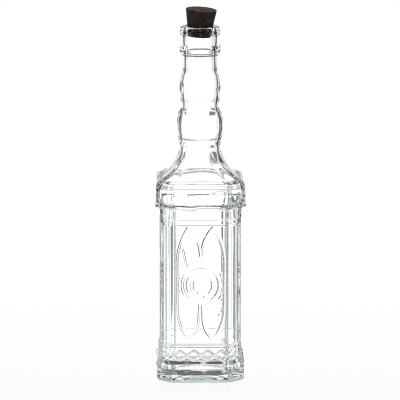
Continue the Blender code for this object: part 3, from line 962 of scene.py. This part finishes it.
def add_floor():
    """A white lit table top, with a faint gloss that mirrors the bottle.

    The camera sees it white. Light out of the glass meets the studio's surround on it,
    and less light where the bottle stands.
    """
    material = emission_material("lit_table", FLOOR_WHITE, 1.0)
    tree = material.node_tree
    seen = tree.nodes["Emission"]
    place = tree.nodes.new("ShaderNodeTexCoord").outputs["Object"]
    beyond = outside_block(tree, place, STAND_HALF)
    near_shade, _ = surround(tree, beyond, NEAR_SECTORS)
    far_shade, _ = surround(tree, beyond, FAR_SECTORS)
    length = tree.nodes.new("ShaderNodeVectorMath")
    length.operation = "LENGTH"
    tree.links.new(place, length.inputs[0])
    span = maths_node(tree, "DIVIDE", length.outputs["Value"], FLOOR_REACH)
    far = ramp_node(tree, span, [(reach / FLOOR_REACH, shade)
                                 for shade, reach in enumerate(NEAR_REACH)])
    shade = mix_colors(tree, "MIX", far, near_shade, far_shade)
    apart = ramp_node(tree, span, [(reach / FLOOR_REACH, float(shade))
                                   for shade, reach in enumerate(STAND_EDGE)])
    # Painted shadow where the bottle stands: darker at the front under it, with lighter patches,
    # seen only through the glass
    depth = tree.nodes.new("ShaderNodeSeparateXYZ")
    tree.links.new(place, depth.inputs["Vector"])
    back = maths_node(tree, "MULTIPLY_ADD", depth.outputs["Y"], 0.5 / UNDER_SHADOW_REACH)
    back.node.inputs[2].default_value = 0.5
    under = ramp_node(tree, back, [(0.5 + 0.5 * behind / UNDER_SHADOW_REACH, shade)
                                   for behind, shade in UNDER_SHADOW_STOPS])
    shadow_noise = noise_node(tree, UNDER_SHADOW_PATCH_SCALE, 1.0)
    shadow_patches = ramp_node(tree, shadow_noise.outputs["Fac"], UNDER_SHADOW_PATCHES)
    under = mix_colors(tree, "LIGHTEN", 1.0, under, shadow_patches)
    near = ramp_node(tree, span, [(reach / FLOOR_REACH, shade) for reach, shade in FLOOR_STOPS])
    glow = tree.nodes.new("ShaderNodeEmission")
    glow.inputs["Strength"].default_value = SURROUND_GLOW
    open_floor = mix_colors(tree, "MULTIPLY", 1.0, shade, near)
    tree.links.new(mix_colors(tree, "MIX", apart, under, open_floor), glow.inputs["Color"])
    light_path = tree.nodes.new("ShaderNodeLightPath")
    lit = tree.nodes.new("ShaderNodeMixShader")
    tree.links.new(light_path.outputs["Is Camera Ray"], lit.inputs["Fac"])
    tree.links.new(glow.outputs["Emission"], lit.inputs[1])
    tree.links.new(seen.outputs["Emission"], lit.inputs[2])
    gloss = tree.nodes.new("ShaderNodeBsdfGlossy")
    gloss.inputs["Roughness"].default_value = FLOOR_ROUGHNESS
    blend = tree.nodes.new("ShaderNodeMixShader")
    blend.inputs["Fac"].default_value = FLOOR_GLOSS
    tree.links.new(lit.outputs["Shader"], blend.inputs[1])
    tree.links.new(gloss.outputs["BSDF"], blend.inputs[2])
    tree.links.new(blend.outputs["Shader"], tree.nodes["Material Output"].inputs["Surface"])
    reach = FLOOR_REACH
    add_sheet("floor", [(-reach, -reach, 0), (reach, -reach, 0), (reach, reach, 0),
                        (-reach, reach, 0)], material)


def add_world():
    """White light all round to the camera, and the dark sectors and ceiling to the glass."""
    world = bpy.data.worlds.new("studio")
    bpy.context.scene.world = world
    world.use_nodes = True
    tree = world.node_tree
    tree.nodes.clear()
    place = tree.nodes.new("ShaderNodeTexCoord").outputs["Generated"]
    shade, up = surround(tree, place, FAR_SECTORS)
    height = ramp_node(tree, up, SKY_STOPS)
    light_path = tree.nodes.new("ShaderNodeLightPath")
    seen = tree.nodes.new("ShaderNodeBackground")
    seen.inputs["Color"].default_value = (1.0, 1.0, 1.0, 1.0)
    glow = tree.nodes.new("ShaderNodeBackground")
    glow.inputs["Strength"].default_value = SURROUND_GLOW
    tree.links.new(mix_colors(tree, "MULTIPLY", 1.0, shade, height), glow.inputs["Color"])
    blend = tree.nodes.new("ShaderNodeMixShader")
    tree.links.new(light_path.outputs["Is Camera Ray"], blend.inputs["Fac"])
    tree.links.new(glow.outputs["Background"], blend.inputs[1])
    tree.links.new(seen.outputs["Background"], blend.inputs[2])
    output = tree.nodes.new("ShaderNodeOutputWorld")
    tree.links.new(blend.outputs["Shader"], output.inputs["Surface"])


def add_lamp():
    """A square lamp overhead that lights the cork's top."""
    light = bpy.data.lights.new("overhead", "AREA")
    light.size = LAMP_SIZE
    light.energy = LAMP_POWER
    lamp = bpy.data.objects.new("overhead", light)
    lamp.location = LAMP_PLACE
    aim = Vector(LAMP_AIM) - lamp.location
    lamp.rotation_euler = aim.to_track_quat("-Z", "Y").to_euler()
    lamp.visible_glossy = False
    lamp.visible_transmission = False
    bpy.context.scene.collection.objects.link(lamp)


def add_camera(stage):
    """The camera, level across and looking down a little at the bottle's middle."""
    data = bpy.data.cameras.new("camera")
    data.lens = stage.lens
    data.sensor_width = 36.0
    data.clip_start, data.clip_end = 0.1, 50.0
    camera = bpy.data.objects.new("camera", data)
    bpy.context.scene.collection.objects.link(camera)
    camera.location = (-stage.distance * math.sin(stage.turn),
                       -stage.distance * math.cos(stage.turn), stage.height)
    view = Vector((0, 0, stage.aim)) - camera.location
    camera.rotation_euler = view.to_track_quat("-Z", "Y").to_euler()
    bpy.context.scene.camera = camera


class BOTTLE_OT_glass(Operator):
    """Makes the glass of the bottle as one closed skin"""

    bl_idname = "bottle.glass"
    bl_label = "Make the glass"

    def execute(self, context):
        glass = settings().glass
        points, faces = bottle_surface(glass)
        item = add_mesh("bottle_glass", points, faces, glass_material(glass))
        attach(item, "root")
        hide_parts("bottle")
        return {"FINISHED"}


class BOTTLE_OT_cork(Operator):
    """Makes the cork that leans in the mouth"""

    bl_idname = "bottle.cork"
    bl_label = "Make the cork"

    def execute(self, context):
        cork = settings().cork
        points, faces = cork_surface(cork)
        item = add_mesh("cork", points, faces, cork_material(cork))
        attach(item, "root")
        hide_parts("stopper")
        return {"FINISHED"}


class BOTTLE_OT_stage(Operator):
    """Makes the table, the light all round, the lamp and the camera"""

    bl_idname = "bottle.stage"
    bl_label = "Make the stage"

    def execute(self, context):
        stage = settings().stage
        add_floor()
        add_world()
        add_lamp()
        add_camera(stage)
        scene = context.scene
        scene.view_settings.view_transform = "Standard"
        scene.cycles.max_bounces = 40
        scene.cycles.transmission_bounces = 32
        scene.cycles.glossy_bounces = 16
        scene.cycles.filter_width = 1.1
        return {"FINISHED"}


class PressedBottleSettings(PropertyGroup):
    """All the settings of the bottle."""

    glass: PointerProperty(type=GlassSettings)
    cork: PointerProperty(type=CorkSettings)
    stage: PointerProperty(type=StageSettings)


class BOTTLE_PT_panel(Panel):
    """The bottle's settings and operators."""

    bl_idname = "BOTTLE_PT_panel"
    bl_label = "Pressed glass bottle"
    bl_space_type = "VIEW_3D"
    bl_region_type = "UI"
    bl_category = "Bottle"

    def draw(self, context):
        everything = context.scene.pressed_bottle
        for part in ("glass", "cork", "stage"):
            box = self.layout.box()
            group = getattr(everything, part)
            for name in group.__annotations__:
                box.prop(group, name)
            box.operator(f"bottle.{part}")


CLASSES = (GlassSettings, CorkSettings, StageSettings, PressedBottleSettings,
           BOTTLE_OT_glass, BOTTLE_OT_cork, BOTTLE_OT_stage, BOTTLE_PT_panel)


def register():
    """Adds the settings, operators and panel."""
    for item in CLASSES:
        bpy.utils.register_class(item)
    bpy.types.Scene.pressed_bottle = PointerProperty(type=PressedBottleSettings)


def unregister():
    """Takes them away again."""
    del bpy.types.Scene.pressed_bottle
    for item in reversed(CLASSES):
        bpy.utils.unregister_class(item)


def main():
    register()
    bpy.ops.bottle.glass()
    bpy.ops.bottle.cork()
    bpy.ops.bottle.stage()


if __name__ == "__main__":
    main()
